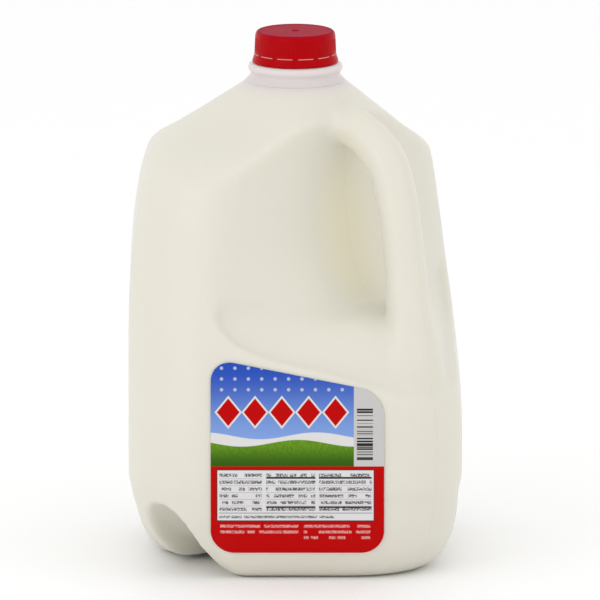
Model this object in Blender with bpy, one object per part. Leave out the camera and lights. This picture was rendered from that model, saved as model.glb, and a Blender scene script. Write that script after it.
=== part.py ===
"""A full plastic milk jug: hollow corner handle, screw cap, paper label and the milk inside.

Metres, +Z up. The origin is on the neck's axis at the level of the feet. +X points at the
handle, and the plane Y = 0 is the mould's parting plane, so the four side faces of the
square body look along the diagonals. Lengths are written in millimetres and times MM.
"""

from math import cos, pi, radians, sin, sqrt

import bmesh
import bpy
from mathutils import Matrix, Vector
from mathutils.bvhtree import BVHTree

MM = 0.001

# Body: a rounded square whose two handle-side faces lean in more than the other two
BODY_HALF = 78.1 * MM
CORNER_RADIUS = 39.4 * MM
FOOT_HALF = 58 * MM
BASE_HEIGHT = 36.1 * MM
BASE_STEP = 1.8 * MM
STEP_TOP = 45.4 * MM
LEAN_START = 71 * MM
LEAN_DEPTH = 15 * MM
LEAN_POWER = 1.15
BACK_START = 93.7 * MM
BACK_DEPTH = 9.1 * MM
BACK_POWER = 3
SHOULDER_CREASE = 193.3 * MM
HANDLE_SHOULDER_HALF = 63.1 * MM
HANDLE_SHOULDER_CREASE = 193.3 * MM
BACK_SHOULDER_HALF = 69 * MM
BACK_SHOULDER_CREASE = 196.7 * MM
SHOULDER_TOP = 223.8 * MM
ROUND_BY = 206 * MM
SHOULDER_ROUND = 5.9 * MM
SHOULDER_TOP_RADIUS = 25.1 * MM
PUSH_UP = 3.5 * MM
CORNER_LIFT = 3 * MM
CORNER_TUCK = 10 * MM
TUCK_START_HANDLE = 0.92
TUCK_START_BACK = 0.7
SHOULDER_CORNER_DROP = 6 * MM
SHOULDER_CORNER_START = 176 * MM
SIDES = 40
BASE_LEVELS = (0, 1.2, 4.4, 9.9, 17.7, 26.6, 36.1)
SIDE_LEVELS = (38.9, 45.4, 71, 96.6, 122.3, 145.9, 167.6, 181.4)
SHOULDER_LEVELS = (188.3, 192.3, 195.2, 198.2, 201.1, 206.1, 211, 215.9, 220.4, 223.8)

# Neck, from the shoulder to the mouth: radius and height of each turned ring
NECK_PROFILE = (
    (23.6, 225),
    (22.6, 226.4),
    (21.2, 227.8),
    (21, 230.3),
    (22, 231.3),
    (22, 232.4),
    (17.3, 233.2),
    (17.1, 246.1),
)
BORE_TOP = 248.5 * MM

# Wall, and the clearances between pieces
WALL = 1.0 * MM
GAP = 0.3 * MM
MILK_LEVEL = 221.4 * MM

# Grip recess across the handle corner: (distance from the neck's axis, height), top to bottom,
# down its middle and along the lip where it leaves the side faces
RECESS_MIDDLE = (
    (37.5, 240), (36, 216), (33.5, 203), (32.5, 190), (34.3, 165), (38, 148), (43.4, 135),
    (49, 127), (56, 124.5), (65, 122.5), (76, 116), (82.5, 106), (86.5, 96), (88, 86),
)
RECESS_LIP = (
    (18.7, 240), (18.7, 216), (18.7, 203), (18.7, 190), (19.7, 165), (20.5, 150), (21.7, 136),
    (25.6, 122.5), (32.5, 112.5), (44.5, 105.5), (59, 101), (75, 95), (84, 91), (88.5, 87.5),
)
RECESS_FLOOR_POINTS = 7
RECESS_BEVEL = 9 * MM
RECESS_BEVEL_DEPTH = 3.4 * MM
LEDGE_BEVEL = 5 * MM
LEDGE_BEVEL_RISE = 1.4 * MM
RECESS_REACH = 250 * MM
RECESS_END = 130 * MM
RECESS_OUTER_DROP = 9 * MM
RECESS_STEPS = 4

# Handle: centre line (distance, height), half thickness across the grip, half width along Y
HANDLE_STATIONS = (
    (21.7, 211, 8.9, 11.8),
    (39.4, 207.5, 9.5, 10.3),
    (53.2, 200.7, 9.7, 9.9),
    (62.7, 189.9, 9.6, 9.9),
    (69.4, 167.6, 9.3, 9.9),
    (73.2, 141, 9.5, 10.1),
    (75.5, 120.3, 10.5, 11.8),
    (76.9, 102.5, 12.4, 16.8),
    (76.9, 82.8, 12.8, 19.7),
)
HANDLE_RINGS = 3
HANDLE_SIDES = 14

# Groove across the underside, from the left corner to the right one
GROOVE_HALF = 15.3 * MM
GROOVE_CENTRE_HEIGHT = 7.9 * MM
GROOVE_CORNER_HEIGHT = 35.5 * MM
GROOVE_RAMP_START = 35.5 * MM
GROOVE_RAMP_END = 90.7 * MM
GROOVE_REACH = 98.6 * MM
GROOVE_BOTTOM = -4.9 * MM
GROOVE_POWER = 2.6
GROOVE_FLARE = 3.5 * MM
GROOVE_FLARE_PART = 0.28

# Screw cap with its tamper band
CAP_RADIUS = 19.1 * MM
CAP_TOP_RADIUS = 18.7 * MM
CAP_BAND_RADIUS = 20.1 * MM
CAP_BOTTOM = 234 * MM
CAP_TOP = 248.9 * MM
CAP_EDGE = 1.6 * MM
CAP_INSIDE = 17.6 * MM
CAP_BAND_INSIDE = 18.3 * MM
CAP_LID = 1.8 * MM
CAP_SIDES = 40
DIMPLE_RADIUS = 1.7 * MM
DIMPLE_DEPTH = 0.7 * MM
SLIT_COUNT = 12
SLIT_LENGTH = 7.5 * MM
SLIT_HEIGHT = 0.6 * MM
SLIT_LEVEL = 238.7 * MM

# Label on the left handle-side face, seen square on
LABEL_LEFT = -39.4 * MM
LABEL_RIGHT = 41.4 * MM
LABEL_BOTTOM = 14.3 * MM
LABEL_TOP_LEFT = 104.5 * MM
LABEL_TOP_RIGHT = 92.7 * MM
LABEL_CORNER = 10.8 * MM
LABEL_THICKNESS = 0.4 * MM
LABEL_GAP = 0.4 * MM
LABEL_FOLDS = (-37.4, -24, 24, 38.4)

# Turns the square body's face axes onto the handle's diagonal
TO_DIAGONAL = Matrix.Rotation(-pi / 4, 3, "Z")

# The exact solver leaves open edges where the handle grows out of the recess
BODY_SOLVER = "MANIFOLD"


def smooth(t):
    """Go from 0 to 1 with level ends."""
    t = min(max(t, 0.0), 1.0)
    return t * t * (3 - 2 * t)


def foot_half(height):
    """Half width of the rounded base: a quarter ellipse from the feet to the base step."""
    drop = 1 - height / BASE_HEIGHT
    return FOOT_HALF + (BODY_HALF - BASE_STEP - FOOT_HALF) * sqrt(max(1 - drop * drop, 0.0))


def side_half(height, start, depth, power):
    """Half width of a side face that leans in more and more above its start."""
    if height < BASE_HEIGHT:
        return foot_half(height)
    if height < STEP_TOP:
        return BODY_HALF - BASE_STEP * (1 - smooth((height - BASE_HEIGHT) / (STEP_TOP - BASE_HEIGHT)))
    lean = max(height - start, 0.0) / (SHOULDER_CREASE - start)
    return BODY_HALF - depth * lean ** power


def shoulder_half(height, crease_half, crease_height):
    """Half width of the sloping shoulder: straight from its crease up to the neck."""
    rise = (height - crease_height) / (SHOULDER_TOP - crease_height)
    return crease_half + (SHOULDER_TOP_RADIUS - crease_half) * rise


def half_width(height, face):
    """Half width at a height, for the handle-side faces or for the two faces behind."""
    if face == "handle":
        side = side_half(height, LEAN_START, LEAN_DEPTH, LEAN_POWER)
        slope = shoulder_half(height, HANDLE_SHOULDER_HALF, HANDLE_SHOULDER_CREASE)
    else:
        side = side_half(height, BACK_START, BACK_DEPTH, BACK_POWER)
        slope = shoulder_half(height, BACK_SHOULDER_HALF, BACK_SHOULDER_CREASE)
    blend = max(SHOULDER_ROUND - abs(side - slope), 0.0) / SHOULDER_ROUND
    return min(side, slope) - blend * blend * SHOULDER_ROUND / 4


def corner_radius(height, half):
    """Corner radius: even up the sides, then a full circle where the shoulder meets the neck."""
    turn = smooth((height - SHOULDER_CREASE) / (ROUND_BY - SHOULDER_CREASE))
    square = CORNER_RADIUS * min(half / BODY_HALF + 0.1, 1.0)
    return square + (half - square) * turn


def square_radius(angle, right, top, corner):
    """Distance from the middle to a rounded rectangle's edge, in its first quarter."""
    centre = Vector((right - corner, top - corner))
    along = Vector((cos(angle), sin(angle)))
    if along.y * right <= centre.y * along.x:
        return right / along.x
    if along.x * top <= centre.x * along.y:
        return top / along.y
    reach = along.dot(centre)
    return reach + sqrt(reach * reach - centre.length_squared + corner * corner)


def corner_drop(height):
    """How much lower the shoulder's crease runs round the corners than along the faces."""
    fade_in = smooth((height - SHOULDER_CORNER_START) / (SHOULDER_CREASE - SHOULDER_CORNER_START))
    fade_out = smooth((height - ROUND_BY) / (SHOULDER_TOP - ROUND_BY))
    return SHOULDER_CORNER_DROP * (fade_in - fade_out)


def body_ring(height):
    """Corner points of the body's outline at a height."""
    points = []
    for i in range(SIDES):
        angle = 2 * pi * i / SIDES
        drop = corner_drop(height) * sin(2 * angle) ** 2
        right = half_width(height + drop, "handle" if cos(angle) > -1e-9 else "back")
        top = half_width(height + drop, "handle" if sin(angle) > -1e-9 else "back")
        corner = corner_radius(height, min(right, top))
        quarter = pi / 2 - abs(angle % pi - pi / 2)
        radius = square_radius(quarter, right, top, corner)
        point = TO_DIAGONAL @ Vector((radius * cos(angle), radius * sin(angle), height))
        start = TUCK_START_HANDLE if point.x > 0 else TUCK_START_BACK
        near = smooth((abs(point.y) / radius - start) / (1 - start))
        low = max(1 - height / BASE_HEIGHT, 0.0)
        point.xy *= 1 - CORNER_TUCK * near * low / radius
        point.z += CORNER_LIFT * near * low * low
        points.append(point)
    return points


def round_ring(radius, height, sides=SIDES, turn=-pi / 4):
    """Corner points of a circle about the neck's axis."""
    angles = [2 * pi * i / sides + turn for i in range(sides)]
    return [Vector((radius * cos(a), radius * sin(a), height)) for a in angles]


def scaled_ring(ring, scale, height):
    """A ring shrunk towards the axis, its own heights too, and raised."""
    return [Vector((p.x * scale, p.y * scale, p.z * scale + height)) for p in ring]


def loft(rings):
    """Closed solid through rings of equal size, with a flat face at each end."""
    bm = bmesh.new()
    loops = [[bm.verts.new(p) for p in ring] for ring in rings]
    for low, high in zip(loops, loops[1:]):
        for i in range(len(low)):
            j = (i + 1) % len(low)
            bm.faces.new((low[i], low[j], high[j]))
            bm.faces.new((low[i], high[j], high[i]))
    bm.faces.new(loops[0][::-1])
    bm.faces.new(loops[-1])
    bmesh.ops.recalc_face_normals(bm, faces=bm.faces)
    return bm


def swell(bm, distance):
    """Move a solid's surface along its normals: outwards if the distance is positive."""
    bm.normal_update()
    moved = [v.co + v.normal * distance * v.calc_shell_factor() for v in bm.verts]
    for vertex, place in zip(bm.verts, moved):
        vertex.co = place


def add_object(name, bm):
    """Put a bmesh into the scene as an object."""
    mesh = bpy.data.meshes.new(name)
    bm.to_mesh(mesh)
    bm.free()
    obj = bpy.data.objects.new(name, mesh)
    bpy.context.collection.objects.link(obj)
    return obj


def apply_modifiers(obj):
    """Replace an object's mesh by the mesh its modifiers give."""
    graph = bpy.context.evaluated_depsgraph_get()
    mesh = bpy.data.meshes.new_from_object(obj.evaluated_get(graph))
    obj.modifiers.clear()
    obj.data = mesh


def boolean(obj, other, operation, solver="EXACT"):
    """Join or cut an object with another one, which is used up."""
    modifier = obj.modifiers.new(operation.title(), "BOOLEAN")
    modifier.operation = operation
    modifier.solver = solver
    modifier.object = other
    apply_modifiers(obj)
    bpy.data.objects.remove(other)


def body_solid(inset):
    """Body, shoulder and neck without handle or recess, its surface moved in by the inset."""
    rings = [body_ring(height * MM) for height in BASE_LEVELS + SIDE_LEVELS + SHOULDER_LEVELS]
    foot = rings[0]
    inner = [scaled_ring(foot, 0.84, 0.0), scaled_ring(foot, 0.72, PUSH_UP * 0.55)]
    inner += [scaled_ring(foot, 0.35, PUSH_UP)]
    neck = [round_ring(radius * MM, height * MM) for radius, height in NECK_PROFILE]
    bm = loft(inner[::-1] + rings + neck)
    swell(bm, -inset)
    if inset:
        bm.verts.ensure_lookup_table()
        for vertex in bm.verts[-SIDES:]:
            vertex.co.z = BORE_TOP
    return add_object("body", bm)


def face_line(x, height):
    """How far from the parting plane the handle-side face lies at a distance and height."""
    height = min(height, HANDLE_SHOULDER_CREASE - SHOULDER_ROUND)
    half = half_width(height, "handle")
    corner = corner_radius(height, half)
    centre = (half - corner) * sqrt(2)
    if x < centre + corner / sqrt(2):
        return half * sqrt(2) - x
    return sqrt(max(corner * corner - (x - centre) ** 2, 0.0))


def recess_solid(outset):
    """Everything that the grip recess takes away, its surface moved out by the outset."""
    stations = [[] for _ in range(RECESS_STEPS + 3)]
    count = len(RECESS_MIDDLE)
    for i, (middle, lip) in enumerate(zip(RECESS_MIDDLE, RECESS_LIP)):
        before = RECESS_MIDDLE[max(i - 1, 0)]
        after = RECESS_MIDDLE[min(i + 1, count - 1)]
        run = Vector((after[0] - before[0], 0, after[1] - before[1])).normalized()
        shift = Vector((run.z, 0, -run.x)) * outset
        middle = Vector((middle[0] * MM, 0, middle[1] * MM))
        lip = Vector((lip[0] * MM, 0, lip[1] * MM))
        lip.y = -face_line(lip.x, lip.z)
        if i < RECESS_FLOOR_POINTS:
            across = Vector((RECESS_BEVEL - RECESS_BEVEL_DEPTH, RECESS_BEVEL + RECESS_BEVEL_DEPTH, 0))
            inner = lip + across / sqrt(2)
        else:
            inner = lip + Vector((-LEDGE_BEVEL, LEDGE_BEVEL, LEDGE_BEVEL_RISE * sqrt(2))) / sqrt(2)
        inner.y = min(inner.y, lip.y / 3)
        outward = (RECESS_END + lip.y) / (inner.y - lip.y)
        stations[0].append(Vector((lip.x + (lip.x - inner.x) * outward, -RECESS_END, lip.z)))
        stations[1].append(lip)
        for k in range(RECESS_STEPS + 1):
            t = k / RECESS_STEPS
            point = inner.lerp(middle, sin(pi / 2 * t))
            point.y = inner.y * (1 - t)
            stations[2 + k].append(point)
        for station in stations:
            station[-1] += shift
    mirrored = [[Vector((p.x, -p.y, p.z)) for p in ring] for ring in stations[-2::-1]]
    rings = stations + mirrored
    for ring in rings:
        ring.append(Vector((RECESS_REACH, ring[-1].y, ring[-1].z - RECESS_OUTER_DROP)))
        ring.append(Vector((RECESS_REACH, ring[0].y, ring[0].z)))
    return add_object("recess", loft(rings))


def spline(points, t):
    """Point at t on a smooth curve through equally weighted points (Catmull-Rom)."""
    i = min(int(t), len(points) - 2)
    f = t - i
    a = points[max(i - 1, 0)]
    b = points[i]
    c = points[i + 1]
    d = points[min(i + 2, len(points) - 1)]
    return 0.5 * (2 * b + (c - a) * f + (2 * a - 5 * b + 4 * c - d) * f * f
                  + (3 * b - a - 3 * c + d) * f * f * f)


def handle_solid(inset):
    """Hollow handle as a bent oval bar, its surface moved in by the inset."""
    stations = [Vector(s) * MM for s in HANDLE_STATIONS]
    spans = len(stations) - 1
    count = spans * HANDLE_RINGS
    rings = []
    for i in range(count + 1):
        t = i / HANDLE_RINGS
        x, z, thick, wide = spline(stations, t)
        before = spline(stations, max(t - 0.02, 0))
        after = spline(stations, min(t + 0.02, spans))
        along = Vector((after[0] - before[0], 0, after[1] - before[1])).normalized()
        across = Vector((along.z, 0, -along.x))
        ring = []
        for k in range(HANDLE_SIDES):
            angle = 2 * pi * k / HANDLE_SIDES
            out = across * (thick - inset) * cos(angle)
            ring.append(Vector((x, 0, z)) + out + Vector((0, (wide - inset) * sin(angle), 0)))
        rings.append(ring)
    return add_object("handle", loft(rings))


def groove_solid(outset):
    """Arched groove under the base: low in the middle, high where it leaves at the corners."""
    rings = []
    for i in range(-8, 9):
        y = GROOVE_REACH * sin(pi / 2 * i / 8)
        ramp = smooth((abs(y) - GROOVE_RAMP_START) / (GROOVE_RAMP_END - GROOVE_RAMP_START))
        tall = GROOVE_CENTRE_HEIGHT + (GROOVE_CORNER_HEIGHT - GROOVE_CENTRE_HEIGHT) * ramp
        half = [(GROOVE_HALF + GROOVE_FLARE, GROOVE_BOTTOM), (GROOVE_HALF + GROOVE_FLARE, 0)]
        half.append((GROOVE_HALF, tall * GROOVE_FLARE_PART))
        for k in range(1, 5):
            angle = pi * k / 10
            across = GROOVE_HALF * cos(angle) ** (2 / GROOVE_POWER)
            half.append((across, tall * sin(angle) ** (2 / GROOVE_POWER)))
        ring = [Vector((x, y, z)) for x, z in half]
        ring.append(Vector((0, y, tall)))
        ring += [Vector((-x, y, z)) for x, z in half[::-1]]
        rings.append(ring)
    bm = loft(rings)
    swell(bm, outset)
    return add_object("groove", bm)


def jug_solid(name, inset):
    """The whole jug as a filled solid whose surface lies the inset inside the real one."""
    solid = body_solid(inset)
    boolean(solid, recess_solid(inset), "DIFFERENCE", BODY_SOLVER)
    boolean(solid, groove_solid(inset), "DIFFERENCE", BODY_SOLVER)
    boolean(solid, handle_solid(inset), "UNION", BODY_SOLVER)
    solid.name = name
    return solid


def make_jug():
    """The blow-moulded shell, open at the mouth."""
    jug = jug_solid("jug", 0.0)
    boolean(jug, jug_solid("hollow", WALL), "DIFFERENCE", BODY_SOLVER)
    return jug


def make_milk():
    """The milk, up to its level just below the neck, and into the hollow handle."""
    milk = jug_solid("milk", WALL + GAP)
    bm = bmesh.new()
    size = 0.3
    above = Matrix.Translation((0, 0, MILK_LEVEL + size / 2))
    bmesh.ops.create_cube(bm, size=size, matrix=above)
    boolean(milk, add_object("air", bm), "DIFFERENCE", BODY_SOLVER)
    return milk


def cap_profile():
    """Half section of the cap from the middle of its top, down outside and back up inside."""
    points = [(0.0, CAP_TOP - DIMPLE_DEPTH), (DIMPLE_RADIUS * 0.5, CAP_TOP - DIMPLE_DEPTH)]
    points.append((DIMPLE_RADIUS, CAP_TOP))
    for i in range(4):
        angle = pi / 2 * i / 3
        across = CAP_TOP_RADIUS - CAP_EDGE * (1 - sin(angle))
        points.append((across, CAP_TOP - CAP_EDGE * (1 - cos(angle))))
    points.append((CAP_RADIUS, SLIT_LEVEL + 0.9 * MM))
    points.append((CAP_RADIUS, SLIT_LEVEL - 0.9 * MM))
    points.append((CAP_BAND_RADIUS - 0.5 * MM, CAP_BOTTOM + 2.2 * MM))
    points.append((CAP_BAND_RADIUS, CAP_BOTTOM + 0.9 * MM))
    points.append((CAP_BAND_RADIUS - 0.3 * MM, CAP_BOTTOM))
    points.append((CAP_BAND_INSIDE, CAP_BOTTOM))
    points.append((CAP_INSIDE, SLIT_LEVEL - 1.2 * MM))
    points.append((CAP_INSIDE, CAP_TOP - CAP_LID))
    points.append((0.0, CAP_TOP - CAP_LID))
    return points


def make_cap():
    """The screw cap: a turned lid and skirt, with a ring of slits above the tamper band."""
    bm = bmesh.new()
    rim = [bm.verts.new((radius, 0, height)) for radius, height in cap_profile()]
    edges = [bm.edges.new(pair) for pair in zip(rim, rim[1:])]
    bmesh.ops.spin(bm, geom=rim + edges, axis=(0, 0, 1), cent=(0, 0, 0), angle=2 * pi,
                   steps=CAP_SIDES, use_merge=True)
    bmesh.ops.remove_doubles(bm, verts=bm.verts, dist=0.01 * MM)
    bmesh.ops.recalc_face_normals(bm, faces=bm.faces)
    cap = add_object("cap", bm)
    boolean(cap, slit_cutters(), "DIFFERENCE")
    return cap


def slit_cutters():
    """A ring of flat blocks, one for each slit between the bridges of the tamper band."""
    bm = bmesh.new()
    for i in range(SLIT_COUNT):
        size = Matrix.Diagonal((5 * MM, SLIT_LENGTH, SLIT_HEIGHT, 1))
        place = Matrix.Translation((CAP_RADIUS, 0, SLIT_LEVEL))
        turn = Matrix.Rotation(2 * pi * (i + 0.5) / SLIT_COUNT, 4, "Z")
        bmesh.ops.create_cube(bm, size=1, matrix=turn @ place @ size)
    return add_object("slits", bm)


def label_outline():
    """The label's outline on the face: a slanting top edge and four round corners."""
    corners = [
        Vector((LABEL_LEFT, LABEL_BOTTOM)),
        Vector((LABEL_RIGHT, LABEL_BOTTOM)),
        Vector((LABEL_RIGHT, LABEL_TOP_RIGHT)),
        Vector((LABEL_LEFT, LABEL_TOP_LEFT)),
    ]
    outline = []
    for i, corner in enumerate(corners):
        back = (corners[i - 1] - corner).normalized() * LABEL_CORNER
        ahead = (corners[(i + 1) % 4] - corner).normalized() * LABEL_CORNER
        for k in range(6):
            t = k / 5
            outline.append(corner + back * (1 - t) ** 2 + ahead * t * t)
    return outline


def make_label():
    """The label: a thin sheet that follows the face, a hair's breadth in front of it."""
    bm = bmesh.new()
    bm.faces.new([bm.verts.new((p.x, p.y, 0)) for p in label_outline()])
    cuts = [((0, level * MM, 0), (0, 1, 0)) for level in BASE_LEVELS + SIDE_LEVELS]
    cuts += [((across * MM, 0, 0), (1, 0, 0)) for across in LABEL_FOLDS]
    for place, normal in cuts:
        everything = bm.verts[:] + bm.edges[:] + bm.faces[:]
        bmesh.ops.bisect_plane(bm, geom=everything, plane_co=place, plane_no=normal)
    bmesh.ops.triangulate(bm, faces=bm.faces)
    body = body_solid(0.0)
    surface = BVHTree.FromObject(body, bpy.context.evaluated_depsgraph_get())
    ahead = TO_DIAGONAL @ Vector((1, 0, 0))
    for vertex in bm.verts:
        start = TO_DIAGONAL @ Vector((2 * BODY_HALF, vertex.co.x, vertex.co.y))
        place = surface.ray_cast(start, -ahead)[0]
        vertex.co = place + ahead * LABEL_GAP
    bpy.data.objects.remove(body)
    label = add_object("label", bm)
    sheet = label.modifiers.new("Thickness", "SOLIDIFY")
    sheet.thickness = LABEL_THICKNESS
    sheet.offset = 1
    return label


def shade(obj, name, colour, roughness):
    """Give a piece its own plain material and smooth shading with sharp edges kept."""
    material = bpy.data.materials.new(name)
    material.use_nodes = True
    surface = material.node_tree.nodes["Principled BSDF"]
    surface.inputs["Base Color"].default_value = (*colour, 1)
    surface.inputs["Roughness"].default_value = roughness
    surface.inputs["Metallic"].default_value = 0
    obj.data.materials.clear()
    obj.data.materials.append(material)
    obj.data.shade_smooth()
    obj.data.set_sharp_from_angle(angle=radians(35))


def main():
    """Clear the scene and build the four pieces."""
    for obj in list(bpy.data.objects):
        bpy.data.objects.remove(obj)
    shade(make_jug(), "milky plastic", (0.80, 0.77, 0.68), 0.4)
    shade(make_milk(), "milk", (0.86, 0.83, 0.74), 0.3)
    shade(make_cap(), "red plastic", (0.50, 0.0, 0.01), 0.35)
    shade(make_label(), "printed paper", (0.60, 0.0, 0.0), 0.4)


main()
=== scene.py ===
# %% [markdown]
# # A full plastic milk jug
#
# The real object is a blow-moulded jug: a square, milky body with a hollow handle across one
# corner, a turned neck, a red screw cap and a paper label stuck on the face beside the handle.
# This lesson starts from a imported CAD model, which fixes every place and size, and puts finer
# surfaces and real finishes around it. Here the model is loaded.

from math import cos, radians, sin, sqrt

import bmesh
import bpy
import numpy as np
from mathutils import Matrix, Vector
from mathutils.bvhtree import BVHTree


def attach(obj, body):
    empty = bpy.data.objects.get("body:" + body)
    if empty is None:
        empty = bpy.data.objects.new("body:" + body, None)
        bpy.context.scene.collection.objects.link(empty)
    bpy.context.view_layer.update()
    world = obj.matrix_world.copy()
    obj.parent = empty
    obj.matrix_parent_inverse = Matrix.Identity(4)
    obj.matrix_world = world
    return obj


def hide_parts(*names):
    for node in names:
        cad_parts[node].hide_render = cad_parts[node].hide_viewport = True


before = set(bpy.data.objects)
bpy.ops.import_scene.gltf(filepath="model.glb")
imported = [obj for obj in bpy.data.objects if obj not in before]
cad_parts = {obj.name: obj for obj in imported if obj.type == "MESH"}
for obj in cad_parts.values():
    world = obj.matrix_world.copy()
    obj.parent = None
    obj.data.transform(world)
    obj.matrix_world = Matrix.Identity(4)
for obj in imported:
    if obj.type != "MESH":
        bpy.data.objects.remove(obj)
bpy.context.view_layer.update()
MM = 0.001
print("CAD pieces:", ", ".join(sorted(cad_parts)))

# %% [markdown]
# ## Meshes from numpy
#
# Every new surface is a grid of points that numpy works out as whole arrays, in millimetres. It
# could also be drawn with Blender's primitives and edited by hand, but a formula keeps each
# curve smooth at any resolution. This helper turns a grid into a mesh: rows are rings that close
# on themselves, and the first and last ring each get a cap.


# %% Grid to mesh
def add_piece(name, points, faces):
    """A mesh object from points in millimetres and faces of any size, normals outwards."""
    mesh = bpy.data.meshes.new(name)
    mesh.from_pydata((np.asarray(points) * MM).tolist(), [], faces)
    solid = bmesh.new()
    solid.from_mesh(mesh)
    bmesh.ops.recalc_face_normals(solid, faces=solid.faces)
    solid.to_mesh(mesh)
    solid.free()
    piece = bpy.data.objects.new(name, mesh)
    bpy.context.collection.objects.link(piece)
    return piece


def loft(name, rings):
    """Closed surface through rings: quad (r, c), (r, c+1), (r+1, c+1), (r+1, c), and two caps."""
    rows, columns = rings.shape[:2]
    index = np.arange(rows * columns).reshape(rows, columns)
    ahead = np.roll(index, -1, axis=1)
    quads = np.stack([index[:-1], ahead[:-1], ahead[1:], index[1:]], axis=-1).reshape(-1, 4)
    faces = quads.tolist() + [index[0, ::-1].tolist(), index[-1].tolist()]
    return add_piece(name, rings.reshape(-1, 3), faces)


def smooth(t):
    """From 0 to 1 with level ends: 3 t squared minus 2 t cubed, held outside 0..1."""
    t = np.clip(t, 0.0, 1.0)
    return t * t * (3 - 2 * t)


def curve(points, per_span):
    """Smooth curve through given points: a Catmull-Rom spline, per_span steps to each span."""
    points = np.asarray(points, float)
    padded = np.vstack([points[:1], points, points[-1:]])
    t = np.linspace(0, len(points) - 1, (len(points) - 1) * per_span + 1)
    i = np.minimum(t.astype(int), len(points) - 2)
    f = (t - i)[:, None]
    a, b, c, d = (padded[i + k] for k in range(4))
    return 0.5 * (2 * b + (c - a) * f + (2 * a - 5 * b + 4 * c - d) * f**2
                  + (3 * b - a - 3 * c + d) * f**3)


print("a curve through 3 points in 4 steps a span has", len(curve([(0, 0), (1, 2), (2, 0)], 4)))

# %% [markdown]
# ## The body
#
# A gallon jug is a rounded square that stands on a narrower, rounded base, leans in towards the
# top and then slopes up to the neck. The two faces beside the handle lean in more than the two
# behind. The body is one surface of angle and height: at each height a rounded square is
# worked out as a distance from the axis, and turned by an eighth of a turn, because +X points
# at the handle corner. A box with bevels would be quicker, but its faces would stay flat.

# %% Body measures in millimetres
BODY_HALF = 78.1
CORNER_RADIUS = 39.4
FOOT_HALF = 58
BASE_HEIGHT = 36.1
BASE_STEP = 1.8
STEP_TOP = 45.4
HANDLE_FACE_LEAN = (71, 15, 1.15)
BACK_FACE_LEAN = (93.7, 9.1, 3)
CREASE = 193.3
HANDLE_SHOULDER = (63.1, 193.3)
BACK_SHOULDER = (69, 196.7)
SHOULDER_TOP = 223.8
SHOULDER_ROUND = 5.9
ROUND_BY = 206
NECK_FOOT_RADIUS = 25.1
PUSH_UP = 3.5
CORNER_LIFT = 3
CORNER_TUCK = 10
CORNER_DROP = 6
CORNER_DROP_START = 176
TUCK_START_BACK = 0.7
TUCK_START_HANDLE = 0.92
UNDERSIDE = ((0.05, PUSH_UP), (0.35, PUSH_UP), (0.72, PUSH_UP * 0.55), (0.84, 0))
NECK_INSIDE = ((23.6, 225), (21.8, 226.6), (20.9, 228), (20.4, 230.5))


def side_half(z, start, depth, power):
    """Half width up a side: quarter ellipse at the base, small step, then a growing lean."""
    drop = 1 - np.minimum(z, BASE_HEIGHT) / BASE_HEIGHT
    base = FOOT_HALF + (BODY_HALF - BASE_STEP - FOOT_HALF) * np.sqrt(1 - drop * drop)
    step = BASE_STEP * smooth((z - BASE_HEIGHT) / (STEP_TOP - BASE_HEIGHT))
    lean = np.maximum(z - start, 0) / (CREASE - start)
    return base + step - depth * lean**power


def half_width(z, handle_side):
    """Half width at a height: the lower of wall and shoulder slope, with the corner rounded."""
    wall = np.where(handle_side, side_half(z, *HANDLE_FACE_LEAN), side_half(z, *BACK_FACE_LEAN))
    half, crease = np.where(np.stack([handle_side] * 2), np.reshape(HANDLE_SHOULDER, (2, 1, 1)),
                            np.reshape(BACK_SHOULDER, (2, 1, 1)))
    slope = half + (NECK_FOOT_RADIUS - half) * (z - crease) / (SHOULDER_TOP - crease)
    blend = np.maximum(SHOULDER_ROUND - np.abs(wall - slope), 0) / SHOULDER_ROUND
    return np.minimum(wall, slope) - blend * blend * SHOULDER_ROUND / 4


def corner_radius(z, half):
    """Corner radius: even up the sides, then a full circle where the shoulder meets the neck."""
    square = CORNER_RADIUS * np.minimum(half / BODY_HALF + 0.1, 1)
    return square + (half - square) * smooth((z - CREASE) / (ROUND_BY - CREASE))


def rounded_square(angle, right, top, corner):
    """Distance to a rounded rectangle: right / cos, top / sin, or the corner circle between."""
    c = np.cos(angle)
    s = np.sin(angle)
    x = right - corner
    y = top - corner
    reach = c * x + s * y
    arc = reach + np.sqrt(np.maximum(reach**2 - x**2 - y**2 + corner**2, 0))
    on_right = s * right <= y * c
    on_top = c * top <= x * s
    side = np.where(on_top, top / np.maximum(s, 1e-9), arc)
    return np.where(on_right, right / np.maximum(c, 1e-9), side)


# %% Body surface
def body_rings(heights, columns):
    """Body rings at given heights: rounded squares on the diagonal, drawn in over two feet."""
    z, angle = np.meshgrid(heights, np.arange(columns) * 2 * np.pi / columns, indexing="ij")
    fade = smooth((z - CORNER_DROP_START) / (CREASE - CORNER_DROP_START))
    fade = fade - smooth((z - ROUND_BY) / (SHOULDER_TOP - ROUND_BY))
    level = z + CORNER_DROP * fade * np.sin(2 * angle) ** 2
    right = half_width(level, np.cos(angle) > -1e-9)
    top = half_width(level, np.sin(angle) > -1e-9)
    quarter = np.pi / 2 - np.abs(angle % np.pi - np.pi / 2)
    radius = rounded_square(quarter, right, top, corner_radius(z, np.minimum(right, top)))
    x = radius * np.cos(angle - np.pi / 4)
    y = radius * np.sin(angle - np.pi / 4)
    start = TUCK_START_BACK + (TUCK_START_HANDLE - TUCK_START_BACK) * smooth(x / 8 + 0.5)
    near = smooth((np.abs(y) / radius - start) / (1 - start))
    low = np.maximum(1 - z / BASE_HEIGHT, 0)
    scale = 1 - CORNER_TUCK * near * low / radius
    return np.stack([x * scale, y * scale, z + CORNER_LIFT * near * low**2], axis=-1)


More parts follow.
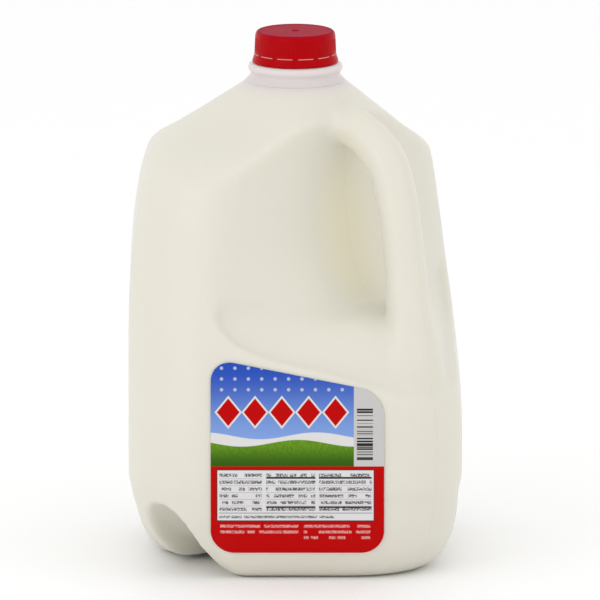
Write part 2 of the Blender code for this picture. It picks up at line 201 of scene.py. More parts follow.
COLUMNS = 224
base_part = np.linspace(0, 1, 16)[:-1]
base_levels = BASE_HEIGHT * (1 - np.cos(np.pi / 2 * base_part))
side_levels = np.arange(BASE_HEIGHT, SHOULDER_TOP, 2.2)
outer = body_rings(np.append(np.append(base_levels, side_levels), SHOULDER_TOP), COLUMNS)
foot = outer[0]
under = np.stack([foot * scale + [0, 0, rise] for scale, rise in UNDERSIDE])
turn = np.arange(COLUMNS) * 2 * np.pi / COLUMNS - np.pi / 4
collar = np.stack([np.stack([r * np.cos(turn), r * np.sin(turn), np.full(COLUMNS, z)], axis=-1)
                   for r, z in NECK_INSIDE])
body = loft("body_form", np.concatenate([under, outer, collar]))
print("body rings:", len(outer), "widest in mm:", round(float(outer[..., 0].max()), 1))

# %% [markdown]
# ## The grip recess
#
# Across the handle corner the wall is pushed in, so that four fingers fit behind the handle. The
# hollow has a back wall that curves down into a sloping floor, and a soft lip where it leaves
# the two side faces. Two guide curves describe it: one down its middle and one along the lip.
# Between them runs a quarter of a sine, steep at the lip and level in the middle. The surface
# is closed far outside the jug, which makes it a solid that a Boolean can take away.

# %% Recess cutter
RECESS_MIDDLE = (
    (37.5, 240), (36, 216), (33.5, 203), (32.5, 190), (34.3, 165), (38, 148), (43.4, 135),
    (49, 127), (56, 124.5), (65, 122.5), (76, 116), (82.5, 106), (86.5, 96), (88, 86),
)
RECESS_LIP = (
    (18.7, 240), (18.7, 216), (18.7, 203), (18.7, 190), (19.7, 165), (20.5, 150), (21.7, 136),
    (25.6, 122.5), (32.5, 112.5), (44.5, 105.5), (59, 101), (75, 95), (84, 91), (88.5, 87.5),
)
WALL_BEVEL = (9, 3.4)
LEDGE_BEVEL = (5, 1.4)
FAR_SIDE = 130
FAR_OUT = 250
OUTER_DROP = 9


def face_line(x, z):
    """Distance of the handle-side face from the parting plane: flat face, then corner circle."""
    z = np.minimum(z, CREASE - SHOULDER_ROUND)
    half = half_width(z[:, None], np.full((len(z), 1), True))[:, 0]
    corner = corner_radius(z, half)
    centre = (half - corner) * sqrt(2)
    circle = np.sqrt(np.maximum(corner**2 - (x - centre) ** 2, 0))
    return np.where(x < centre + corner / sqrt(2), half * sqrt(2) - x, circle)


def recess_rings(per_span, steps):
    """Recess stations from one far side to the other: lip, bevel, then a sine to the middle."""
    middle = curve(RECESS_MIDDLE, per_span)
    lip = curve(RECESS_LIP, per_span)
    middle = np.stack([middle[:, 0], 0 * middle[:, 0], middle[:, 1]], axis=-1)
    lip = np.stack([lip[:, 0], -face_line(lip[:, 0], lip[:, 1]), lip[:, 1]], axis=-1)
    wide, deep = WALL_BEVEL
    wall = np.array([wide - deep, wide + deep, 0]) / sqrt(2)
    wide, rise = LEDGE_BEVEL
    ledge = np.array([-wide / sqrt(2), wide / sqrt(2), rise])
    part = smooth(np.arange(len(lip)) / per_span - 6)[:, None]
    inner = lip + wall * (1 - part) + ledge * part
    inner[:, 1] = np.minimum(inner[:, 1], lip[:, 1] / 3)
    outward = (FAR_SIDE + lip[:, 1]) / (inner[:, 1] - lip[:, 1])
    far = np.stack([lip[:, 0] + (lip[:, 0] - inner[:, 0]) * outward,
                    np.full(len(lip), -FAR_SIDE), lip[:, 2]], axis=-1)
    t = np.linspace(0, 1, steps + 1)[:, None, None]
    floor = inner + (middle - inner) * np.sin(np.pi / 2 * t)
    floor[..., 1] = inner[:, 1] * (1 - t[..., 0])
    half = np.concatenate([[far, lip], floor])
    rings = np.concatenate([half, half[-2::-1] * [1, -1, 1]])
    last = rings[:, -1] * [0, 1, 1] + [FAR_OUT, 0, -OUTER_DROP]
    first = rings[:, 0] * [0, 1, 1] + [FAR_OUT, 0, 0]
    return np.concatenate([rings, last[:, None], first[:, None]], axis=1)


recess = loft("recess_form", recess_rings(6, 18))
print("recess faces:", len(recess.data.polygons))

# %% [markdown]
# ## Handle and groove
#
# The handle is one bent, hollow bar that grows out of the shoulder and runs back into the
# corner below. It is an oval carried along a curved path, wider where it meets the body. The
# groove under the base is an arch carried straight across, which opens into a high notch at two
# corners and leaves the two long feet that the jug stands on.

# %% Handle bar
HANDLE_STATIONS = (
    (21.7, 211, 8.9, 11.8), (39.4, 207.5, 9.5, 10.3), (53.2, 200.7, 9.7, 9.9),
    (62.7, 189.9, 9.6, 9.9), (69.4, 167.6, 9.3, 9.9), (73.2, 141, 9.5, 10.1),
    (75.5, 120.3, 10.5, 11.8), (76.9, 102.5, 12.4, 16.8), (76.9, 82.8, 12.8, 19.7),
)


def handle_rings(per_span, sides):
    """Ovals across a path: centre + across * thick * cos a + sideways * wide * sin a."""
    x, z, thick, wide = curve(HANDLE_STATIONS, per_span).T
    run = np.stack([np.gradient(x), np.gradient(z)])
    run /= np.hypot(*run)
    angle = np.arange(sides) * 2 * np.pi / sides
    out = thick[:, None] * np.cos(angle)
    side = wide[:, None] * np.sin(angle)
    return np.stack([x[:, None] + run[1][:, None] * out, side,
                     z[:, None] - run[0][:, None] * out], axis=-1)


handle = loft("handle_form", handle_rings(8, 40))

# %% Groove cutter
GROOVE_HALF = 15.3
GROOVE_MIDDLE_HEIGHT = 7.9
GROOVE_CORNER_HEIGHT = 35.5
GROOVE_RAMP = (35.5, 90.7)
GROOVE_REACH = 98.6
GROOVE_BOTTOM = -4.9
GROOVE_POWER = 2.6
GROOVE_FLARE = (3.5, 0.28)


def groove_rings(rows, steps):
    """Arches across the base: a superellipse on a flared foot, taller towards both corners."""
    y = GROOVE_REACH * np.sin(np.pi / 2 * np.linspace(-1, 1, rows))
    low, high = GROOVE_RAMP
    tall = GROOVE_CORNER_HEIGHT - GROOVE_MIDDLE_HEIGHT
    tall = GROOVE_MIDDLE_HEIGHT + tall * smooth((np.abs(y) - low) / (high - low))
    flare, part = GROOVE_FLARE
    angle = np.linspace(0.25, np.pi / 2, steps)
    across = GROOVE_HALF * np.cos(angle).clip(0) ** (2 / GROOVE_POWER)
    rise = np.sin(angle) ** (2 / GROOVE_POWER)
    across = np.concatenate([[GROOVE_HALF + flare, GROOVE_HALF + flare, GROOVE_HALF], across])
    rise = np.outer(tall, np.concatenate([[0, 0, part], rise]))
    rise[:, 0] = GROOVE_BOTTOM
    x = np.concatenate([across, -across[-2::-1]])
    z = np.concatenate([rise, rise[:, -2::-1]], axis=1)
    return np.stack([np.broadcast_to(x, z.shape), np.broadcast_to(y[:, None], z.shape), z], axis=-1)


groove = loft("groove_form", groove_rings(48, 10))
print("handle faces:", len(handle.data.polygons), "groove faces:", len(groove.data.polygons))

# %% [markdown]
# ## One skin
#
# A blow-moulded wall has no sharp inside corners, because the hot plastic is stretched over the
# mould. The forms are first cut and joined with Booleans. The mould's halves are alike, so a
# little over the half in front of Y = 0 is kept and mirrored. A voxel remesh melts the two
# together into one even grid of small quads, and a smoothing pass rounds every edge by a
# millimetre or two. A second pass works only round the two ends of the handle, where the
# plastic flows together in a large fillet, and at the two corners of the recess.


# %% Cut, join and smooth
def freeze(piece):
    """Replace a piece's mesh by what its modifiers give."""
    graph = bpy.context.evaluated_depsgraph_get()
    mesh = bpy.data.meshes.new_from_object(piece.evaluated_get(graph))
    piece.modifiers.clear()
    piece.data = mesh


def combine(piece, other, operation):
    """Join another form to a piece or cut it away, and use it up."""
    step = piece.modifiers.new(operation.title(), "BOOLEAN")
    step.operation = operation
    step.solver = "MANIFOLD"
    step.object = other
    freeze(piece)
    bpy.data.objects.remove(other)


def soften(piece, rounds, weights=None):
    """Smooth a piece's surface, all over or by a weight for each vertex."""
    step = piece.modifiers.new("Soften", "SMOOTH")
    step.factor = 0.5
    step.iterations = rounds
    if weights is not None:
        group = piece.vertex_groups.new(name="soft")
        for tenth in range(1, 11):
            members = np.flatnonzero(np.round(weights * 10) == tenth)
            group.add(members.tolist(), tenth / 10, "REPLACE")
        step.vertex_group = "soft"
    freeze(piece)
    piece.vertex_groups.clear()


def places(piece):
    """Vertex positions in millimetres, as an array."""
    flat = np.empty(len(piece.data.vertices) * 3)
    piece.data.vertices.foreach_get("co", flat)
    return flat.reshape(-1, 3) / MM


VOXEL = 1.45
HALF_BOX = 500
HALF_OVERLAP = 3
SOFT_SPOTS = ((34, 0, 205, 20), (75, 0, 97, 26), (24, -78, 129, 14), (24, 78, 129, 14))
SKIN_ROUNDS = 16
SPOT_ROUNDS = 25
skin = body
skin.name = "jug_skin"
combine(skin, recess, "DIFFERENCE")
combine(skin, groove, "DIFFERENCE")
combine(skin, handle, "UNION")
near_side = Matrix.Translation((0, (HALF_OVERLAP - HALF_BOX / 2) * MM, HALF_BOX / 4 * MM))
block = bmesh.new()
bmesh.ops.create_cube(block, size=HALF_BOX * MM, matrix=near_side)
half_mesh = bpy.data.meshes.new("near_half")
block.to_mesh(half_mesh)
block.free()
near_half = bpy.data.objects.new("near_half", half_mesh)
bpy.context.collection.objects.link(near_half)
combine(skin, near_half, "INTERSECT")
halves = skin.modifiers.new("Halves", "MIRROR")
halves.use_axis = (False, True, False)
halves.use_mirror_merge = False
freeze(skin)
even = skin.modifiers.new("Even", "REMESH")
even.mode = "VOXEL"
even.voxel_size = VOXEL * MM
even.use_smooth_shade = True
freeze(skin)
soften(skin, SKIN_ROUNDS)
spots = places(skin)
soft = sum(smooth(1.5 - np.linalg.norm(spots - [x, y, z], axis=1) / reach)
           for x, y, z, reach in SOFT_SPOTS)
soften(skin, SPOT_ROUNDS, np.clip(soft, 0, 1))
print("skin faces:", len(skin.data.polygons))

# %% [markdown]
# ## The neck
#
# Above the shoulder the plastic is turned round: a waist, then a rounded bead just under the
# cap, which carries the bottle on the filling line. It is too fine for the remesh, so it is a
# profile turned about the axis. Its foot dips just under the skin, so that no gap shows.


# %% Turned surfaces
def turned(name, profile, sides):
    """A profile of (radius, height) turned about the axis, with both ends closed on it."""
    radius, height = np.asarray(profile, float).T
    angle = np.arange(sides) * 2 * np.pi / sides
    rings = np.stack([np.outer(radius, np.cos(angle)), np.outer(radius, np.sin(angle)),
                      np.repeat(height[:, None], sides, axis=1)], axis=-1)
    return loft(name, rings)


NECK_PROFILE = (
    (22.6, 225.2), (23.3, 225.5), (22.6, 226.2), (21.6, 227.3), (21.05, 228.5), (21.1, 229.6),
    (21.6, 230.3), (22, 231.1), (22.1, 231.9), (21.8, 232.8), (21, 233.6), (19.6, 233.92),
    (17.5, 233.95), (17.2, 235), (17.1, 246.1),
)
neck = turned("jug_neck", curve(NECK_PROFILE, 5), 128)
neck.data.shade_smooth()
print("neck faces:", len(neck.data.polygons))

# %% [markdown]
# ## The milk
#
# The jug is full to just below the neck. Its wall is opaque enough to hide the milk's
# surface, but the level still shows, because the plastic above it looks thinner and cooler. The
# milk's own solid comes from the CAD; a copy is drawn in a little, clear of the smoothed skin.

# %% Milk inside the skin
MILK_CLEARANCE = 1.2
milk_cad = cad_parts["milk"]
milk = bpy.data.objects.new("milk_fill", milk_cad.data.copy())
bpy.context.collection.objects.link(milk)
liquid = bmesh.new()
liquid.from_mesh(milk.data)
bmesh.ops.remove_doubles(liquid, verts=liquid.verts, dist=0.01 * MM)
liquid.normal_update()
moved = [vertex.co - vertex.normal * MILK_CLEARANCE * MM for vertex in liquid.verts]
for vertex, place in zip(liquid.verts, moved):
    vertex.co = place
liquid.to_mesh(milk.data)
liquid.free()
skin_tree = BVHTree.FromObject(skin, bpy.context.evaluated_depsgraph_get())
nearest = [(vertex.co, *skin_tree.find_nearest(vertex.co)[:2]) for vertex in milk.data.vertices]
outside = sum((place - hit).dot(normal) > 0 for place, hit, normal in nearest)
print("milk level in mm:", round(float(places(milk)[:, 2].max()), 1), "points outside:", outside)

# %% [markdown]
# ## The cap
#
# The screw cap has a flat top with a small dimple where the plastic entered the mould, a
# rounded rim, fine grip ribs down its side, and a tamper band that flares out and hangs on by
# short bridges. The side is one grid of angle and height; the ribs are a cosine wave on its
# radius that fades out towards the rim and the band, so no rib needs a mesh of its own.

# %% Cap with ribs
RIBS = 90
RIB_DEPTH = 0.16
CAP_PROFILE = (
    (0.02, 248.15), (0.8, 248.15), (1.4, 248.3), (1.9, 248.75), (2.5, 248.72), (9, 248.72),
    (16, 248.72), (16.7, 248.88), (17.3, 248.88), (17.9, 248.55), (18.4, 247.9), (18.72, 247),
    (18.85, 245.6), (19, 242.5), (19.1, 240.2), (19.12, 239.3), (19.2, 238.3), (19.4, 237.2),
    (19.7, 236.2), (20, 235.4), (20.1, 234.9), (20.05, 234.3), (19.8, 234),
)


def cap_rings(per_span, sides):
    """The cap's profile turned round, its radius less rib depth * (1 - cos) / 2 on the side."""
    profile = curve(CAP_PROFILE, per_span)
    inside = np.array([(18.4, 234.05), (17.9, 236), (17.7, 238), (17.7, 246.6), (0.02, 246.8)])
    radius, height = np.concatenate([profile, inside]).T
    side = smooth((height - 239.2) / 0.8) * smooth((246.6 - height) / 1.2)
    side[len(profile):] = 0
    angle = np.arange(sides) * 2 * np.pi / sides
    rib = RIB_DEPTH * (1 - np.cos(RIBS * angle)) / 2
    radius = radius[:, None] - np.outer(side, rib)
    height = np.repeat(height[:, None], sides, axis=1)
    return np.stack([radius * np.cos(angle), radius * np.sin(angle), height], axis=-1)


cap = loft("screw_cap", cap_rings(4, RIBS * 6))
cap.data.shade_smooth()
cap.data.set_sharp_from_angle(angle=radians(50))
print("cap faces:", len(cap.data.polygons))

# %% [markdown]
# ## The label
#
# The label is a sheet of coated paper with round corners and a slanting top that follows the
# lip of the recess. It lies on the skin, so it is a flat grid in the face's own plane whose points
# are dropped onto the skin along the face's normal. The grid's two coordinates become a UV map
# in units of 100 mm, which the print reads.

# %% Label sheet
LABEL_LEFT = -39.4
LABEL_RIGHT = 41.4
LABEL_BOTTOM = 14.3
LABEL_TOP_LEFT = 107
LABEL_TOP_RIGHT = 91
LABEL_CORNER = 10.8
LABEL_LIFT = 0.35
LABEL_THICKNESS = 0.3
LABEL_UNIT = 100
AHEAD = Vector((1, -1, 0)) / sqrt(2)
ACROSS = Vector((1, 1, 0)) / sqrt(2)


def label_grid(columns, rows):
    """Grid of a quad with round corners: rows pull in where a corner circle cuts them."""
    s, t = np.meshgrid(np.linspace(0, 1, columns), np.linspace(0, 1, rows))
    s = (1 - np.cos(np.pi * s)) / 2
    t = (1 - np.cos(np.pi * t)) / 2
    across = LABEL_LEFT + (LABEL_RIGHT - LABEL_LEFT) * s
    top = LABEL_TOP_LEFT + (LABEL_TOP_RIGHT - LABEL_TOP_LEFT) * s
    edge = np.minimum(across - LABEL_LEFT, LABEL_RIGHT - across)
    inside = np.clip(LABEL_CORNER - edge, 0, LABEL_CORNER)
    cut = LABEL_CORNER - np.sqrt(LABEL_CORNER**2 - inside**2)
    low = LABEL_BOTTOM + cut
    return across, low + (top - cut - low) * t


across, upward = label_grid(61, 61)


def on_skin(u, z):
    """Place on the skin straight behind a point of the label's plane, in millimetres."""
    start = ACROSS * float(u) * MM + AHEAD * 0.2 + Vector((0, 0, float(z) * MM))
    hit = skin_tree.ray_cast(start, -AHEAD)[0]
    return np.array(hit) / MM + np.array(AHEAD) * LABEL_LIFT


spots = np.array([on_skin(u, z) for u, z in zip(across.ravel(), upward.ravel())])
index = np.arange(across.size).reshape(across.shape)
quads = np.stack([index[:-1, :-1], index[:-1, 1:], index[1:, 1:], index[1:, :-1]], axis=-1)
label = add_piece("label_sheet", spots, quads.reshape(-1, 4).tolist())
uv = label.data.uv_layers.new(name="print")
corners = np.empty(len(label.data.loops), int)
label.data.loops.foreach_get("vertex_index", corners)
flat = np.stack([across.ravel(), upward.ravel()], axis=-1)[corners] / LABEL_UNIT
uv.data.foreach_set("uv", flat.ravel())
if label.data.polygons[0].normal.dot(AHEAD) < 0:
    label.data.flip_normals()
sheet = label.modifiers.new("Thickness", "SOLIDIFY")
sheet.thickness = LABEL_THICKNESS * MM
sheet.offset = 1
freeze(label)
label.data.shade_smooth()
label.data.set_sharp_from_angle(angle=radians(40))
print("label faces:", len(label.data.polygons))

# %% [markdown]
# ## Shader maths as Python
#
# Each finish is a few formulas over the surface. Written with nodes by hand they are hard to
# read, so this small class wraps one socket and lets Python's own operators add the nodes.


# %% A socket with operators
class Wire:
    """A number that varies over a surface: one shader socket that takes + - * / and powers."""

    def __init__(self, tree, socket):
        self.tree = tree
        self.socket = socket

    def node(self, kind, settings=None, output=0, **inputs):
        """Add a node: first its settings, then a value or link for each named socket."""
        made = self.tree.nodes.new(kind)
        for key, value in (settings or {}).items():
            setattr(made, key, value)
        for key, value in inputs.items():
            socket = made.inputs[int(key[1:])] if key[0] == "i" and key[1:].isdigit() else None
            socket = socket or made.inputs[key.replace("_", " ")]
            if isinstance(value, Wire):
                self.tree.links.new(value.socket, socket)
            else:
                socket.default_value = value
        return Wire(self.tree, made.outputs[output])

    def math(self, operation, first, second=0.0, third=0.0):
        return self.node("ShaderNodeMath", {"operation": operation}, i0=first, i1=second, i2=third)

    def __add__(self, other):
        return self.math("ADD", self, other)

    __radd__ = __add__

    def __sub__(self, other):
        return self.math("SUBTRACT", self, other)

    def __rsub__(self, other):
        return self.math("SUBTRACT", other, self)

    def __mul__(self, other):
        return self.math("MULTIPLY", self, other)

    __rmul__ = __mul__

    def __truediv__(self, other):
        return self.math("DIVIDE", self, other)

    def __pow__(self, other):
        return self.math("POWER", self, other)

    def __abs__(self):
        return self.math("ABSOLUTE", self)

    def most(self, other):
        return self.math("MAXIMUM", self, other)

    def wrap(self, length):
        """Distance into a repeat: the value modulo a length, never negative."""
        return self.math("WRAP", self, length, 0.0)

    def step(self, low, high):
        """A soft step: 0 below low, 1 above high, smooth between."""
        return self.node("ShaderNodeMapRange", {"interpolation_type": "SMOOTHSTEP"},
                         i0=self, i1=low, i2=high)

    def between(self, low, high, soft):
        """A soft band: 1 from low to high, 0 outside."""
        return self.step(low - soft, low + soft) * (1 - self.step(high - soft, high + soft))

    def blend(self, first, second):
        """Mix two colours by this value: 0 gives the first and 1 the second."""
        made = self.tree.nodes.new("ShaderNodeMix")
        made.data_type = "RGBA"
        self.tree.links.new(self.socket, made.inputs[0])
        for place, colour in ((6, first), (7, second)):
            if isinstance(colour, Wire):
                self.tree.links.new(colour.socket, made.inputs[place])
            else:
                made.inputs[place].default_value = (*colour, 1)
        return Wire(self.tree, made.outputs[2])


def new_finish(name, roughness, **constants):
    """A material with a Principled shader; returns it, the shader and a wire to start from."""
    material = bpy.data.materials.new(name)
    material.use_nodes = True
    tree = material.node_tree
    shader = tree.nodes["Principled BSDF"]
    shader.inputs["Roughness"].default_value = roughness
    for key, value in constants.items():
        shader.inputs[key.replace("_", " ")].default_value = value
    return material, shader, Wire(tree, None)


def object_axes(wire):
    """Object coordinates in millimetres as three wires, and the vector itself."""
    vector = wire.node("ShaderNodeTexCoord", output=3)
    parts = wire.node("ShaderNodeSeparateXYZ", Vector=vector)
    sockets = parts.socket.node.outputs
    return [Wire(wire.tree, sockets[k]) * 1000 for k in range(3)] + [vector]


def noise(wire, vector, scale, detail):
    """Soft noise; the scale is in repeats per metre on Object coordinates."""
    return wire.node("ShaderNodeTexNoise", Vector=vector, Scale=scale, Detail=detail)


def connect(wire, target):
    """Link a wire to a shader's socket."""
    wire.tree.links.new(wire.socket, target)


def bump(wire, height, distance, strength):
    """Normal from a height between 0 and 1, in metres of relief."""
    return wire.node("ShaderNodeBump", Height=height, Distance=distance, Strength=strength)


print("finish helpers ready")

# %% [markdown]
# ## Milky plastic
#
# High-density polyethylene is a dull, milky plastic. Full of milk it looks cream white; above
# the milk it turns cooler and slightly pink. In the deep hollow behind the handle a painted
# yellowish glow stands in for the light that has gone through milk and plastic, and the lower
# body carries painted shade, darker towards the bottom. Each of these is a mask worked out
# from the place on the jug. A fine, soft grain and a slight unevenness of the blown wall go
# into the bump, with the seam of the mould's two halves.

# %% Jug finish
CREAM = (0.71, 0.685, 0.60)
COOL_NECK = (0.69, 0.63, 0.615)
# painted light: a yellowish glow for the hollow behind the handle
PAINTED_HOLLOW_GLOW = (0.76, 0.72, 0.53)
# painted shade: how much darker the colour gets at the foot
PAINTED_BASE_SHADE = 0.96
SCATTER = (1.0, 0.9, 0.75)
MILK_LEVEL = 221.4


def jug_finish():
    """Cream plastic: cooler above the milk, painted glow behind the handle, seam along Y = 0."""
    material, shader, wire = new_finish("milky plastic", 0.36, Specular_IOR_Level=0.45,
                                        Subsurface_Weight=0.25, Subsurface_Scale=0.012,
                                        Subsurface_Radius=SCATTER)
    x, y, z, vector = object_axes(wire)
    cloud = noise(wire, vector, 14, 3)
    above = (z + (cloud - 0.5) * 3).step(MILK_LEVEL - 1, MILK_LEVEL + 4)
    # painted light: a mask for the yellowish glow of light through milk, bounced between handle and
    # wall
    out = ((x - 44) / 17) ** 2 + (y / 22) ** 2 + ((z - 165) / 42) ** 2
    painted_hollow_glow = 1 - out.step(0.0, 1.6)
    colour = (cloud * 0.5 + 0.25).blend(CREAM, [0.97 * c for c in CREAM])
    # painted shade: the lower body is darkened towards the bottom
    low = 1 - z.step(0, 75)
    colour = low.blend(colour, [PAINTED_BASE_SHADE * c for c in CREAM])
    colour = (painted_hollow_glow * 0.85).blend(colour, PAINTED_HOLLOW_GLOW)
    colour = above.blend(colour, COOL_NECK)
    seam = (1 - abs(y).step(0.15, 0.55)) * z.step(2, 8)
    colour = (seam * 0.1).blend(colour, [0.8 * c for c in CREAM])
    connect(colour, shader.inputs["Base Color"])
    grain = noise(wire, vector, 900, 2) * 0.35 + noise(wire, vector, 60, 2) * 0.65
    connect(bump(wire, grain + seam * 0.4, 0.00025, 0.5), shader.inputs["Normal"])
    connect(noise(wire, vector, 45, 3) * 0.12 + 0.3, shader.inputs["Roughness"])
    return material


jug_material = jug_finish()
print("jug finish nodes:", len(jug_material.node_tree.nodes))


# %% [markdown]
# ## Milk and cap
#
# Milk is a smooth, warm white liquid. The cap is red polypropylene, with a duller top and a
# faint cloud in its colour. Its tamper slits show the pale neck behind, so they are drawn as short
# dashes that follow the angle round the cap.


# %% Milk finish
def milk_finish():
    """Warm white with the faintest cloud in it."""
    material, shader, wire = new_finish("milk", 0.22, Subsurface_Weight=0.3, Subsurface_Scale=0.01)
    vector = object_axes(wire)[3]
    colour = noise(wire, vector, 25, 3).blend((0.88, 0.85, 0.76), (0.86, 0.83, 0.73))
    connect(colour, shader.inputs["Base Color"])
    connect(noise(wire, vector, 30, 2) * 0.1 + 0.18, shader.inputs["Roughness"])
    return material


# %% Cap finish
SLITS = 12
SLIT_LEVEL = 238.2
SLIT_HALF = 0.17


def cap_finish():
    """Red plastic with a frosted top, fine mottling and pale slits above the tamper band."""
    material, shader, wire = new_finish("red plastic", 0.3, Specular_IOR_Level=0.05)
    x, y, z, vector = object_axes(wire)
    turn = wire.math("ARCTAN2", y, x) * (SLITS / (2 * np.pi)) + 20.5
    slit = turn.wrap(1.0).between(0.14, 0.86, 0.03) * z.between(SLIT_LEVEL - SLIT_HALF,
                                                           SLIT_LEVEL + SLIT_HALF, 0.12)
    top = z.step(248, 248.5)
    cloud = noise(wire, vector, 120, 3)
    colour = cloud.blend((0.43, 0.0, 0.003), (0.37, 0.0, 0.002))
    colour = (top * 0.8).blend(colour, (0.32, 0.0, 0.022))
    colour = (slit * 0.8).blend(colour, (0.72, 0.42, 0.38))
    connect(colour, shader.inputs["Base Color"])
    connect(top * 0.22 + cloud * 0.1 + 0.24, shader.inputs["Roughness"])
    grain = noise(wire, vector, 1500, 2) * 0.4 - slit
    connect(bump(wire, grain, 0.0003, 0.6), shader.inputs["Normal"])
    return material


milk_material = milk_finish()
cap_material = cap_finish()
print("cap finish nodes:", len(cap_material.node_tree.nodes))

# %% [markdown]
# ## The printed label
#
# A milk label has a bright field above, a strip for the bar code at one side, and a coloured
# band below with a table of contents. This one is a plain design of its own: blue with pale
# dots, a row of diamonds, and a white and a green wave. Lines of type are only rows of specks,
# broken up by noise, at the scale of real print.

# %% Label layout in millimetres
BAND_TOP = 56.5
STRIP_LEFT = 27.3
PANEL = (-36.3, 36.5, 30.4, 54.6)
LABEL_RED = (0.46, 0.0, 0.0)
PAPER_WHITE = (0.66, 0.65, 0.66)
PALE = (0.66, 0.65, 0.64)
INK = (0.02, 0.02, 0.022)
DOT_PITCH = (6.25, 5)
DOT_FLOOR = 90
DIAMOND_PITCH = 12.5
DIAMOND_HALF = (5.6, 6.8)
DIAMOND_LEVEL = 82
DIAMOND_ROW = (-37.6, 25.1)
WAVE_STRETCH = 0.12


def box_mask(u, v, left, right, low, high, soft=0.12):
    """1 inside an upright rectangle of the print and 0 outside."""
    return u.between(left, right, soft) * v.between(low, high, soft)


def dashes(wire, u, v, left, right, low, high, pitch, seed):
    """Rows of specks that read as small type: a wave up the rows times a fine noise."""
    row = (v - low) / pitch
    line = row.wrap(1.0).between(0.25, 0.72, 0.08)
    place = wire.node("ShaderNodeCombineXYZ", X=u * 1.6, Y=v * 1.2, Z=seed)
    letters = noise(wire, place, 1.3, 1).step(0.4, 0.5)
    place = wire.node("ShaderNodeCombineXYZ", X=u * 1.6, Y=wire.math("FLOOR", row) * 7.3, Z=seed)
    gaps = noise(wire, place, 0.16, 0).step(0.36, 0.4)
    return line * letters * gaps * box_mask(u, v, left, right, low, high)


# %% Label picture
def wave(u, v, level, height, shift):
    """1 below the curve v = level + height * sin(stretch * u + shift), and 0 above it."""
    angle = u * WAVE_STRETCH + shift
    return 1 - (v - angle.math("SINE", angle) * height - level).step(-0.2, 0.2)


def picture(wire, u, v):
    """Blue with pale dots, a row of diamonds in red, and a white wave over a green one."""
    blue = v.step(66, 104).blend((0.20, 0.33, 0.66), (0.02, 0.07, 0.42))
    wide, tall = DOT_PITCH
    dot = ((u.wrap(wide) - wide / 2) ** 2 + (v.wrap(tall) - tall / 2) ** 2) ** 0.5
    dots = (1 - dot.step(0.7, 0.9)) * v.step(DOT_FLOOR - 2, DOT_FLOOR + 2)
    blue = (dots * 0.7).blend(blue, (0.55, 0.58, 0.70))
    wide, tall = DIAMOND_HALF
    edge = abs(u.wrap(DIAMOND_PITCH) - DIAMOND_PITCH / 2) / wide + abs(v - DIAMOND_LEVEL) / tall
    whole = u.between(*DIAMOND_ROW, 0.1)
    drawn = ((1 - edge.step(1.12, 1.16)) * whole).blend(blue, PALE)
    drawn = ((1 - edge.step(0.93, 0.97)) * whole).blend(drawn, LABEL_RED)
    drawn = wave(u, v, 71, 1.6, 0.4).blend(drawn, PALE)
    fleck = noise(wire, wire.node("ShaderNodeCombineXYZ", X=u, Y=v * 0.5, Z=0.0), 0.9, 4)
    green = fleck.blend((0.04, 0.15, 0.006), (0.20, 0.38, 0.02))
    green = v.step(57, 69).blend([0.03, 0.10, 0.005], green)
    return wave(u, v, 67.5, 1.6, 1.4).blend(drawn, green)


# %% Label table
def table(wire, u, v, colour):
    """The white panel with its frame, columns of thin rules, heavy bars and rows of type."""
    left, right, low, high = PANEL
    colour = box_mask(u, v, left - 0.4, right + 0.4, low - 0.4, high + 0.4).blend(colour, INK)
    colour = box_mask(u, v, left, right, low, high).blend(colour, PAPER_WHITE)
    ink = box_mask(u, v, left + 0.8, right - 0.8, 33.8, 34.05, 0.1)
    for start, end, seed in ((-35.4, -15.6, 1.0), (-13.6, 9.4, 5.0), (11, 35.6, 9.0)):
        body_top = 50.4 if seed > 1 else 53.6
        rules = ((v - 34.0) / 3.3).wrap(1.0).between(0.0, 0.05, 0.03)
        ink = ink.most(rules * box_mask(u, v, start, end, 36.5, body_top) * 0.7)
        ink = ink.most(dashes(wire, u, v, start, end, 34.2, 54.0, 3.3, seed) * 0.85)
        if seed > 1:
            ink = ink.most(box_mask(u, v, start, end, 50.6, 51.5))
            ink = ink.most(box_mask(u, v, start, end, 36.4, 37.2))
    ink = ink.most(dashes(wire, u, v, left + 0.8, 18, 30.8, 33.6, 2.6, 14.0) * 0.8)
    return ink.blend(colour, INK)


# %% Label finish
def label_finish():
    """Coated paper: coloured field, strip with bars, red band, table and small type."""
    material, shader, wire = new_finish("printed label", 0.34, Specular_IOR_Level=0.07)
    spot = wire.node("ShaderNodeUVMap", {"uv_map": "print"})
    parts = wire.node("ShaderNodeSeparateXYZ", Vector=spot)
    sockets = parts.socket.node.outputs
    u = Wire(wire.tree, sockets[0]) * LABEL_UNIT
    v = Wire(wire.tree, sockets[1]) * LABEL_UNIT
    colour = picture(wire, u, v)
    colour = u.step(STRIP_LEFT - 0.1, STRIP_LEFT + 0.1).blend(colour, (0.52, 0.51, 0.50))
    bars = wire.node("ShaderNodeCombineXYZ", X=2.0, Y=v * 1.0, Z=8.0)
    stripes = noise(wire, bars, 1.35, 2).step(0.49, 0.53)
    colour = (stripes * box_mask(u, v, 28.7, 36.2, 59.5, 84.5)).blend(colour, INK)
    colour = (v.step(BAND_TOP - 0.1, BAND_TOP + 0.1) * -1 + 1).blend(colour, LABEL_RED)
    colour = table(wire, u, v, colour)
    small = dashes(wire, u, v, -35, 1.5, 23.4, 29, 2.8, 21.0)
    small = small.most(dashes(wire, u, v, 4, 35, 20.6, 29, 2.8, 27.0))
    colour = (small * 0.6).blend(colour, (0.78, 0.55, 0.53))
    connect(colour, shader.inputs["Base Color"])
    fibre = noise(wire, spot, 220, 3)
    connect(fibre * 0.12 + 0.28, shader.inputs["Roughness"])
    connect(bump(wire, fibre, 0.00008, 0.5), shader.inputs["Normal"])
    return material


label_material = label_finish()
print("label finish nodes:", len(label_material.node_tree.nodes))

# %% [markdown]
# ## Dressing the frame
#
# Each new piece takes over from its CAD node, which stays in the physics model. Nothing here
# moves, so everything rides on the one body.

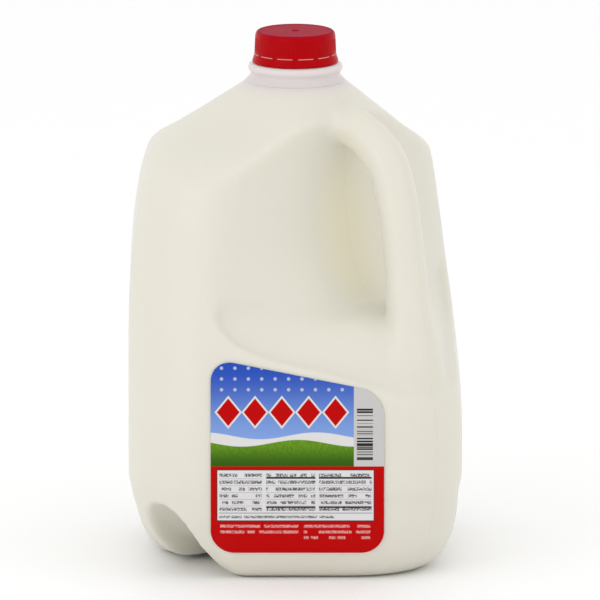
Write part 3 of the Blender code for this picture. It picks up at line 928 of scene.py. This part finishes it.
# %% Replace the CAD nodes
DRESS = (
    (skin, jug_material, "jug", "jug_plastic"),
    (neck, jug_material, "jug", "jug_plastic"),
    (milk, milk_material, "milk", "milk"),
    (cap, cap_material, "cap", "cap_plastic"),
    (label, label_material, "label", "label_paper"),
)
for piece, material, node, slot in DRESS:
    piece.data.materials.clear()
    piece.data.materials.append(material)
    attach(piece, "root")
    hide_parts(node)
print("pieces:", [piece.name for piece, *_ in DRESS])

# %% [markdown]
# ## Floor, light and camera
#
# The jug stands on a plain, pale floor in soft studio light: a bright, even surround, one large
# panel in front of each side and one above. The camera looks from a height of eleven
# degrees, square on to the labelled face, and from far off through a long lens, as a catalogue
# picture is taken, so that upright edges stay upright.

# %% Floor and light
FLOOR_SIZE = 40
FLOOR_WHITE = 0.98
PANELS = (
    ("left panel", 5, 16, 1.3, 0.8, 2.0),
    ("right panel", 95, 20, 1.4, 0.8, 0.8),
    ("top panel", 45, 75, 1.4, 0.8, 0.7),
)
floor_mesh = bpy.data.meshes.new("floor")
half = FLOOR_SIZE / 2
floor_mesh.from_pydata([(-half, -half, 0), (half, -half, 0), (half, half, 0), (-half, half, 0)],
                       [], [(0, 1, 2, 3)])
floor = bpy.data.objects.new("floor", floor_mesh)
bpy.context.collection.objects.link(floor)
floor_material, floor_shader, _ = new_finish("studio floor", 0.6)
floor_shader.inputs["Base Color"].default_value = (FLOOR_WHITE, FLOOR_WHITE, FLOOR_WHITE, 1)
floor.data.materials.append(floor_material)

world = bpy.data.worlds.new("studio")
bpy.context.scene.world = world
world.use_nodes = True
world.node_tree.nodes["Background"].inputs["Color"].default_value = (1, 1, 1, 1)
world.node_tree.nodes["Background"].inputs["Strength"].default_value = 1.0


def soft_panel(name, azimuth, elevation, distance, size, power):
    """A square area light that looks at the jug's middle from an azimuth and elevation."""
    a = radians(azimuth)
    e = radians(elevation)
    away = Vector((sin(a) * cos(e), -cos(a) * cos(e), sin(e)))
    lamp = bpy.data.lights.new(name, "AREA")
    lamp.energy = power
    lamp.size = size
    holder = bpy.data.objects.new(name, lamp)
    holder.location = Vector((0, 0, 0.13)) + away * distance
    holder.rotation_euler = away.to_track_quat("Z", "Y").to_euler()
    bpy.context.collection.objects.link(holder)


for panel in PANELS:
    soft_panel(*panel)
print("panels:", [name for name, *_ in PANELS])

# %% Camera
VIEW_AZIMUTH = 45
VIEW_ELEVATION = 11
DISTANCE = 9.0
PIXELS_PER_MM = 2.13
IMAGE = 600
AIM_ACROSS = 2.2
AIM_HEIGHT = 120.2
SENSOR = 36

a = radians(VIEW_AZIMUTH)
e = radians(VIEW_ELEVATION)
back = Vector((sin(a) * cos(e), -cos(a) * cos(e), sin(e)))
right = Vector((cos(a), sin(a), 0))
lens = bpy.data.cameras.new("camera")
lens.sensor_width = SENSOR
lens.lens = PIXELS_PER_MM / MM * SENSOR * DISTANCE / IMAGE
camera = bpy.data.objects.new("camera", lens)
aim = right * AIM_ACROSS * MM + Vector((0, 0, AIM_HEIGHT * MM))
turned_to = Matrix((right, back.cross(right), back)).transposed().to_4x4()
camera.matrix_world = Matrix.Translation(aim + back * DISTANCE) @ turned_to
bpy.context.collection.objects.link(camera)
bpy.context.scene.camera = camera
bpy.context.scene.view_settings.view_transform = "Standard"
print("lens in mm:", round(lens.lens))
